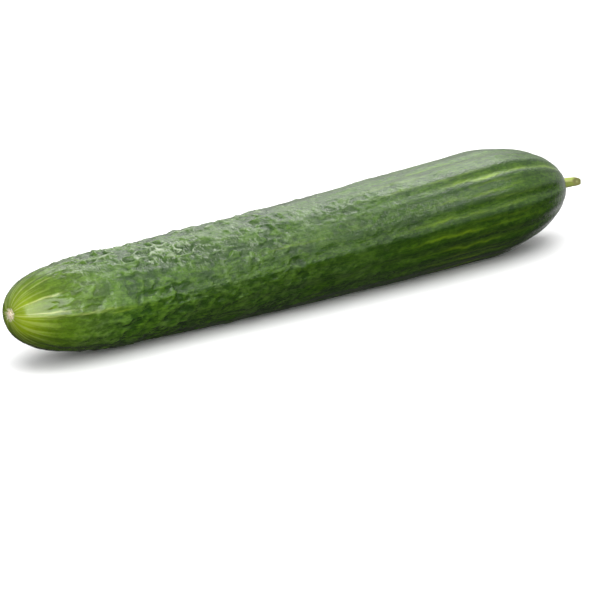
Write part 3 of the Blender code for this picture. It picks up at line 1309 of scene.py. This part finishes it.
@dataclass
class Fruit:
    """The fruit: its form, its relief from broad to fine, and its coloured skin."""

    form: FruitForm = field(default_factory=FruitForm)
    furrows: Furrows = field(default_factory=Furrows)
    swells: Swells = field(default_factory=Swells)
    ridges: Ridges = field(default_factory=Ridges)
    warts: Warts = field(default_factory=Warts)
    wrinkles: Wrinkles = field(default_factory=Wrinkles)
    pimples: Pimples = field(default_factory=Pimples)
    ends: Ends = field(default_factory=Ends)
    streaks: Streaks = field(default_factory=Streaks)
    finish: SkinFinish = field(default_factory=SkinFinish)
    segments: int = 248
    rings: int = 400
    flat_fade_height: float = 0.0020
    blush_length: float = 0.0066
    blush_power: float = 1.5
    blush_part: float = 0.85
    blush_angle: float = math.radians(168)
    blush_low: float = 0.06
    blush_patches: Waves = Waves((60.0, 90.0, 90.0), 12.4)
    blush_mean: float = 0.8
    blush_spread: float = 0.5
    pale_length: float = 0.055
    pale_part: float = 0.16
    scar_radius: float = 0.0030
    scar_points: tuple[tuple[float, int, float], ...] = ((0.16, 7, 1.0), (0.10, 12, 0.0))
    scar_core: float = 0.55
    tip_paleness: float = 0.05
    height_range: float = 0.0006
    veils: Waves = Waves((40.0, 80.0, 80.0), 52.0)
    veil_mean: float = 0.5
    veil_spread: float = 0.9
    veil_onset: Range = (0.006, 0.035)
    veil_lost: float = 0.8
    veil_ending: Range = (0.50, 0.72)
    # Where the painted glints go: the upper side, mostly over the blossom half.
    glint_zone: Profile = Profile(
        (0.0, 0.05, 0.10, 0.20, 0.45, 0.70, 1.0), (0.0, 0.10, 0.60, 0.95, 0.60, 0.12, 0.0)
    )
    glint_zone_angle: float = math.radians(95)
    glint_zone_facing: Range = (0.30, 0.95)

    def skin(self, share: np.ndarray, angle: np.ndarray) -> tuple[np.ndarray, dict[Trait, np.ndarray]]:
        """Points on the skin and their numbers.

        Args:
            share: Shares of the fruit's length.
            angle: Angles round it.

        Returns:
            One point in a row for each pair, and the numbers for the material.
        """
        form = self.form
        plain = form.plain_radius(share)
        seated = np.minimum(share, form.seat_share())
        centre = form.middle(seated)
        along, across, up = form.directions(seated)
        height = centre[:, 2] + plain * np.sin(angle)
        fine_bumps, near_tip = self.pimples.relief(form, share, angle)
        wrinkled, near_crest = self.wrinkles.relief(form, share, angle)
        relief = self.furrows.relief(share, angle) + self.swells.relief(share, angle)
        relief += self.ridges.relief(form, share, angle) + self.warts.relief(form, share, angle)
        relief += wrinkled + fine_bumps
        relief *= np.clip(plain / form.girth.at(share), 0, 1)
        relief *= np.clip(height / self.flat_fade_height, 0, 1)
        radius = plain + relief
        push = -self.ends.scar(radius) * (share < 0.5)
        push -= self.ends.dimple(radius, form.seat_radius) * (share > 0.5)
        outward = np.cos(angle)[:, None] * across + np.sin(angle)[:, None] * up
        points = centre + radius[:, None] * outward + push[:, None] * along
        points[:, 2] = np.maximum(points[:, 2], 0.0)
        # Where the painted glints go: the upper side of the fruit, mostly over the blossom half.
        glint_zone = self.glint_zone.at(share) * fade(np.cos(angle - self.glint_zone_angle), *self.glint_zone_facing)
        streak, beside, flank = self.streaks.shades(form, share, angle)
        ribs = self.streaks.ribs(form, self.furrows, share, angle)
        traits = {
            Trait.STREAK: np.maximum(streak, self.tip_paleness * near_tip**2),
            Trait.BLUSH: self._blush(share, angle),
            Trait.SCAR: self._scar(share, angle, radius),
            Trait.HEIGHT: np.clip(0.5 + (wrinkled + fine_bumps) / self.height_range, 0, 1),
            # Rib bands and fine-ray gaps, with the painted shadow beside the streaks.
            Trait.BANDS_AND_SHADOW: np.maximum(ribs * (1 - flank), beside),
            Trait.BLOOM: self._bloom(share, angle),
            Trait.GLINT_ZONE: glint_zone,
            Trait.CREST: near_crest * glint_zone,
            Trait.SHARE: share,
        }
        return points, traits

    def _blush(self, share: np.ndarray, angle: np.ndarray) -> np.ndarray:
        """How yellow the skin is round the blossom scar.

        Args:
            share: Shares of the fruit's length.
            angle: Angles round it.

        Returns:
            A number from 0 to 1 for each pair.
        """
        run = share * self.form.length
        places = self.form.unrolled(share, angle)
        patches = self.blush_mean + self.blush_spread * self.blush_patches.at(places)
        facing = (1 + np.cos(angle - self.blush_angle)) / 2
        facing = self.blush_low + (1 - self.blush_low) * facing
        near = np.exp(-((run / self.blush_length) ** self.blush_power))
        blush = self.blush_part * facing * near * patches
        return np.clip(blush + self.pale_part * fade(run, self.pale_length, 0.0), 0, 1)

    def _scar(self, share: np.ndarray, angle: np.ndarray, radius: np.ndarray) -> np.ndarray:
        """How much of the skin is the blossom scar's cork, which has a ragged rim.

        Args:
            share: Shares of the fruit's length.
            angle: Angles round it.
            radius: Distances from the middle line.

        Returns:
            A number from 0 to 1 for each place.
        """
        rim = np.full_like(angle, self.scar_radius)
        for part, points, turn in self.scar_points:
            rim += self.scar_radius * part * np.sin(points * angle + turn)
        return fade(radius, rim, self.scar_core * rim) * (share < 0.5)

    def _bloom(self, share: np.ndarray, angle: np.ndarray) -> np.ndarray:
        """How much dull bloom lies on the skin.

        Args:
            share: Shares of the fruit's length.
            angle: Angles round it.

        Returns:
            A number from 0 to 1 for each pair.
        """
        veil = self.veil_mean + self.veil_spread * self.veils.at(self.form.unrolled(share, angle))
        veil = np.clip(veil, 0, 1) * fade(share * self.form.length, *self.veil_onset)
        return veil * (1 - self.veil_lost * fade(share, *self.veil_ending))

    def build(self) -> bpy.types.Object:
        """Makes the fruit from a closed cylinder, whose rings are drawn out along the middle line.

        Returns:
            The piece, in its solid's place.
        """
        bm = ringed_cylinder(self.segments, self.rings - 1, closed_by_fans=True)
        places = np.array([vert.co for vert in bm.verts])
        angle = np.arctan2(places[:, 1], places[:, 0])
        steps = (1 + (places[:, 2] + 0.5) * (self.rings - 2)) / self.rings
        at_pole = np.hypot(places[:, 0], places[:, 1]) < 0.5
        steps[at_pole] = np.round(steps[at_pole])
        points, traits = self.skin(self.form.spread_shares(steps), angle)
        for vert, point in zip(bm.verts, points):
            vert.co = point
        piece = as_piece("cucumber_fruit", bm, self.finish.make(), traits)
        attach(piece, Node.FRUIT)
        return piece


@dataclass
class Stem:
    """The stub of the stem, with its widened foot, five ridges and slanting cut."""

    form: FruitForm = field(default_factory=FruitForm)
    finish: StemFinish = field(default_factory=StemFinish)
    sunk: float = 0.0003
    length: float = 0.0142
    gap: float = 0.0003
    radius: Profile = Profile(
        (0.0, 0.10, 0.24, 0.55, 0.80, 0.94, 1.0),
        (0.0041, 0.0034, 0.0027, 0.00235, 0.00220, 0.00212, 0.0019),
    )
    ridges: int = 5
    ridge_part: float = 0.06
    droop: float = math.radians(5)
    cut_slant: float = math.radians(68)
    cut_turn: float = math.radians(-25)
    cut_onset: int = 2
    foot_onset: int = 8
    hollow: float = 0.00025
    segments: int = 80
    rings: int = 90
    cut_rings: int = 7

    def build(self) -> bpy.types.Object:
        """Makes the stem from a cylinder that is cut into rings, bent, tapered and ridged.

        Returns:
            The piece, in its solid's place.
        """
        bm = ringed_cylinder(self.segments, self.rings, closed_by_fans=False)
        cut = [face for face in bm.faces if face.normal.z > 0.9]
        step = 1.0 / (self.cut_rings + 1)
        for _ in range(self.cut_rings):
            bmesh.ops.inset_region(bm, faces=cut, thickness=step, use_even_offset=False)
        places = np.array([vert.co for vert in bm.verts])
        share = places[:, 2] + 0.5
        angle = np.arctan2(places[:, 1], places[:, 0])
        out = np.hypot(places[:, 0], places[:, 1])
        inward = np.where((share > 0.9999) & (out < 0.999), 1 - out, 0.0)
        for vert, point in zip(bm.verts, self._points(share, angle, out, inward)):
            vert.co = point
        ridged = (1 + np.cos(self.ridges * angle)) / 2
        traits = {Trait.SHARE: share, Trait.RIDGE: ridged, Trait.CUT: inward}
        piece = as_piece("cucumber_stem", bm, self.finish.make(), traits)
        attach(piece, Node.STEM)
        return piece

    def _points(
        self, share: np.ndarray, angle: np.ndarray, out: np.ndarray, inward: np.ndarray
    ) -> np.ndarray:
        """Points of the stem.

        Args:
            share: Shares of the stem's length.
            angle: Angles round it.
            out: How far out of its middle each point lies, 0 to 1.
            inward: How far in from the rim of the cut face each point lies, 0 for the bark.

        Returns:
            One point in a row for each place.
        """
        seat = np.array([self.form.seat_share()])
        foot = self.form.middle(seat)[0]
        along, across, up = (direction[0] for direction in self.form.directions(seat))
        droop = self.droop * share
        reach = self.length * share
        start = self.gap - (self.gap + self.sunk) * (1 - share) ** self.foot_onset
        radius = self.radius.at(share) * out * (1 + self.ridge_part * np.cos(self.ridges * angle))
        slant = math.tan(self.cut_slant) * np.cos(angle - self.cut_turn) * share**self.cut_onset
        forward = start + reach * np.cos(droop / 2) + radius * (slant + np.sin(droop) * np.sin(angle))
        forward -= self.hollow * inward
        sideways = radius * np.cos(angle)
        upward = radius * np.cos(droop) * np.sin(angle) - reach * np.sin(droop / 2)
        return foot + forward[:, None] * along + sideways[:, None] * across + upward[:, None] * up


@dataclass(frozen=True)
class Viewpoint:
    """The camera: a long lens that looks at the fruit from the blossom end's side."""

    azimuth: float = math.radians(-41.28)
    elevation: float = math.radians(16.73)
    distance: float = 1.897
    target_height: float = 0.02245
    target_x: float = -0.007
    aside: float = -0.00104
    above: float = -0.02156
    lens: float = 252.0
    sensor: float = 36.0

    def build(self) -> bpy.types.Object:
        """Makes the scene's camera.

        Returns:
            The camera.
        """
        back = Vector((
            math.sin(self.azimuth) * math.cos(self.elevation),
            -math.cos(self.azimuth) * math.cos(self.elevation),
            math.sin(self.elevation),
        ))
        right = Vector((math.cos(self.azimuth), math.sin(self.azimuth), 0.0))
        up = back.cross(right)
        data = bpy.data.cameras.new("camera")
        data.lens = self.lens
        data.sensor_width = self.sensor
        camera = bpy.data.objects.new("camera", data)
        turned = Matrix((right, up, back)).transposed().to_4x4()
        target = Vector((self.target_x, 0.0, self.target_height))
        place = target + right * self.aside + up * self.above + back * self.distance
        camera.matrix_world = Matrix.Translation(place) @ turned
        bpy.context.scene.collection.objects.link(camera)
        bpy.context.scene.camera = camera
        return camera


class Lights(Enum):
    """What a lamp lights: dull surfaces, mirrored light or the floor alone."""

    DULL = "dull"
    MIRRORED = "mirrored"
    FLOOR = "floor"


@dataclass(frozen=True)
class Softbox:
    """A soft rectangular lamp that faces a point."""

    name: str
    place: Triple
    facing: Triple
    width: float
    height: float
    brightness: float
    lights: Lights = Lights.MIRRORED
    roll: float = 0.0

    def build(self, floor: bpy.types.Collection) -> bpy.types.Object:
        """Makes the lamp.

        Args:
            floor: The collection that holds the floor alone.

        Returns:
            The lamp's object.
        """
        data = bpy.data.lights.new(self.name, "AREA")
        data.shape = "RECTANGLE"
        data.size = self.width
        data.size_y = self.height
        data.energy = self.brightness * self.width * self.height * math.pi
        lamp = bpy.data.objects.new(self.name, data)
        towards = Vector(self.facing) - Vector(self.place)
        turned = towards.to_track_quat("-Z", "Y").to_matrix() @ Matrix.Rotation(self.roll, 3, "Z")
        lamp.matrix_world = Matrix.Translation(self.place) @ turned.to_4x4()
        lamp.visible_camera = False
        lamp.visible_diffuse = self.lights is not Lights.MIRRORED
        lamp.visible_glossy = self.lights is Lights.MIRRORED
        if self.lights is Lights.FLOOR:
            lamp.light_linking.receiver_collection = floor
        bpy.context.scene.collection.objects.link(lamp)
        return lamp


@dataclass(frozen=True)
class Surround:
    """The pale room's even light, dim below the table's height."""

    above: float = 0.50
    below: float = 0.06
    edge: Range = (-0.06, 0.03)

    def build(self) -> bpy.types.World:
        """Makes the world's light.

        Returns:
            The world.
        """
        world = bpy.data.worlds.new("room")
        world.use_nodes = True
        tree = world.node_tree
        coordinates = tree.nodes.new("ShaderNodeTexCoord")
        split = tree.nodes.new("ShaderNodeSeparateXYZ")
        ramp = tree.nodes.new("ShaderNodeMapRange")
        tree.links.new(coordinates.outputs["Generated"], split.inputs["Vector"])
        tree.links.new(split.outputs["Z"], ramp.inputs["Value"])
        numbers = (*self.edge, self.below, self.above)
        for name, number in zip(("From Min", "From Max", "To Min", "To Max"), numbers):
            ramp.inputs[name].default_value = number
        light = tree.nodes["Background"]
        light.inputs["Color"].default_value = (1.0, 1.0, 1.0, 1.0)
        tree.links.new(ramp.outputs["Result"], light.inputs["Strength"])
        return world


@dataclass(frozen=True)
class Studio:
    """A plain pale floor in a pale room, with soft lamps above, in front, behind and beyond both ends."""

    floor_size: float = 30.0
    lamps: tuple[Softbox, ...] = (
        Softbox("key_lamp", (-0.62, -0.95, 0.78), (-0.10, 0.0, 0.0), 1.25, 1.0, 1.9, Lights.DULL),
        Softbox("key_card", (-0.79, -1.03, 0.68), (-0.15, 0.0, 0.03), 2.16, 1.18, 4.7, roll=0.2),
        Softbox("over_lamp", (0.05, 0.10, 1.20), (0.0, 0.0, 0.0), 1.7, 1.5, 1.5, Lights.DULL),
        Softbox("back_lamp", (0.45, 1.05, 0.60), (0.0, 0.0, 0.02), 1.1, 0.7, 1.2, Lights.DULL),
        Softbox("back_card", (1.10, 1.18, -0.14), (0.0, 0.0, -0.14), 0.90, 0.90, 0.16),
        Softbox("rim_card", (1.03, 1.14, 0.50), (0.0, 0.0, 0.02), 0.62, 0.50, 0.42),
        Softbox("shoulder_card", (0.55, 0.955, 0.95), (-0.14, 0.0, 0.03), 0.36, 0.75, 1.7),
        Softbox("end_card", (1.15, 0.42, -0.28), (0.12, 0.0, 0.02), 0.70, 0.55, 0.6),
        Softbox("upper_card", (1.00, 0.88, 0.88), (0.0, 0.0, 0.02), 1.10, 0.68, 1.2),
        Softbox("glint_card", (0.92, 0.49, 0.94), (0.0, 0.0, 0.02), 0.26, 0.18, 4.0),
        Softbox("front_glint_card", (0.784, -0.612, 0.671), (0.0, 0.0, 0.02), 0.16, 0.12, 12.0),
        Softbox("top_card", (0.90, 0.33, 1.05), (0.0, 0.0, 0.02), 0.66, 0.45, 1.8),
        Softbox("near_card", (0.21, -0.10, 0.40), (0.21, -0.10, 0.0), 0.24, 0.16, 2.1),
        Softbox("low_card", (0.091, -0.38, 0.205), (0.091, 0.0, 0.205), 0.40, 0.42, 0.8, roll=0.5),
        Softbox("floor_lamp", (0.0, -0.10, 1.20), (0.0, -0.10, 0.0), 1.6, 1.6, 1.4, Lights.FLOOR),
        Softbox("bounce_lamp", (-0.20, -0.12, 0.002), (-0.20, -0.08, 1.0), 0.18, 0.14, 3.4, Lights.DULL),
        Softbox("end_lamp", (-1.10, -0.35, 0.30), (-0.17, 0.0, 0.03), 0.50, 0.50, 2.6, Lights.DULL),
    )
    surround: Surround = field(default_factory=Surround)
    finish: FloorFinish = field(default_factory=FloorFinish)

    def build(self) -> bpy.types.Object:
        """Makes the floor, the room's light and the lamps.

        Returns:
            The floor.
        """
        bm = bmesh.new()
        bmesh.ops.create_grid(bm, x_segments=2, y_segments=2, size=self.floor_size / 2)
        floor = as_piece("floor", bm, self.finish.make(), {})
        floor.visible_glossy = False
        floor.visible_diffuse = False
        alone = bpy.data.collections.new("floor_alone")
        alone.objects.link(floor)
        for lamp in self.lamps:
            lamp.build(alone)
        bpy.context.scene.world = self.surround.build()
        return floor


def main() -> None:
    """Builds the pieces, the camera and the studio, and logs each piece's face count."""
    logging.basicConfig(level=logging.INFO, format="%(name)s: %(message)s")
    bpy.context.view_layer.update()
    bpy.context.scene.view_settings.view_transform = "Standard"
    Viewpoint().build()
    Studio().build()
    for part in (Fruit(), Stem()):
        piece = part.build()
        log.info("%s: %d faces", piece.name, len(piece.data.polygons))
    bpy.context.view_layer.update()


if __name__ == "__main__":
    main()
